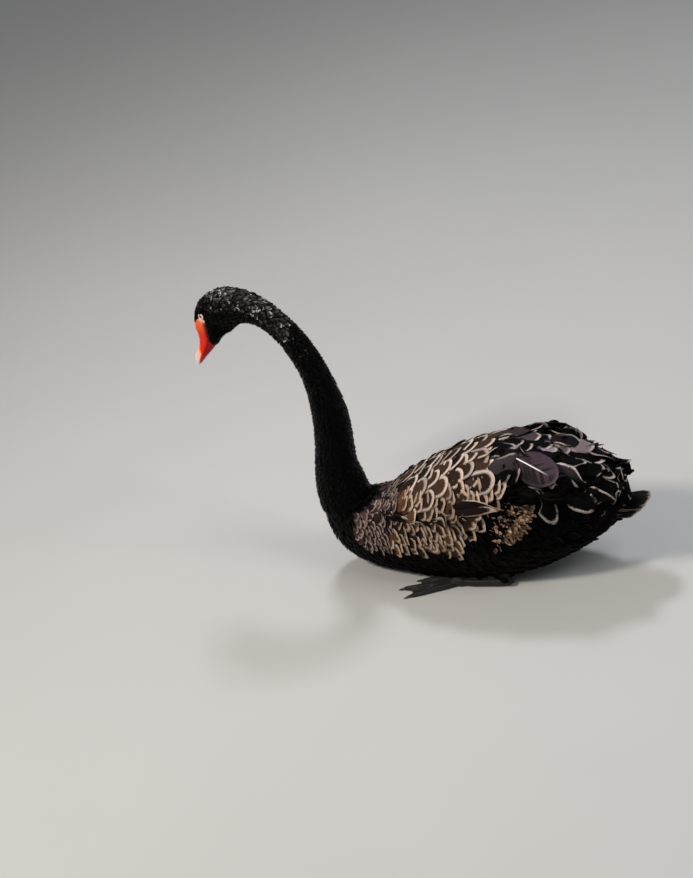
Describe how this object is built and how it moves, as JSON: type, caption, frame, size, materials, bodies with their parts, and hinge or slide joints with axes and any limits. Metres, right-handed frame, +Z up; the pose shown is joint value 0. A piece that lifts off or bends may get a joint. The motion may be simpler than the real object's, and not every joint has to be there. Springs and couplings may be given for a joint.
{
  "type": "black swan",
  "caption": "Still life-size model of a black swan sitting on its belly, neck raised in an arch and red bill pointing down.",
  "frame": {"origin": "middle of the flat of the belly, on the floor, in the bird's middle plane", "axes": "-X towards the breast and bill, +Y to the bird's right side, +Z up from the floor"},
  "size_m": [0.7768, 0.2286, 0.575],
  "materials": {
    "plumage_black": "black feathers with a soft gloss",
    "plumage_brown": "brown-black feathers with pale fringes",
    "bill_horn": "waxy red horn with a pale bar near the tip",
    "eye": "wet and glossy",
    "leg_skin": "dark scaly skin",
    "claw_horn": "dark horn"
  },
  "bodies": {
    "root": {"trunk": "plumage_black", "neck_1": "plumage_black", "neck_2": "plumage_black", "neck_3": "plumage_black", "neck_4": "plumage_black", "neck_5": "plumage_black", "head": "plumage_black", "bill_upper": "bill_horn", "bill_lower": "bill_horn", "eye_left": "eye", "eye_right": "eye", "wing_left": "plumage_brown", "wing_right": "plumage_brown", "tail": "plumage_black", "leg_left": "leg_skin", "leg_right": "leg_skin", "foot_left": "leg_skin", "foot_right": "leg_skin", "claw_left_inner": "claw_horn", "claw_left_middle": "claw_horn", "claw_left_outer": "claw_horn", "claw_right_inner": "claw_horn", "claw_right_middle": "claw_horn", "claw_right_outer": "claw_horn"}
  },
  "joints": []
}
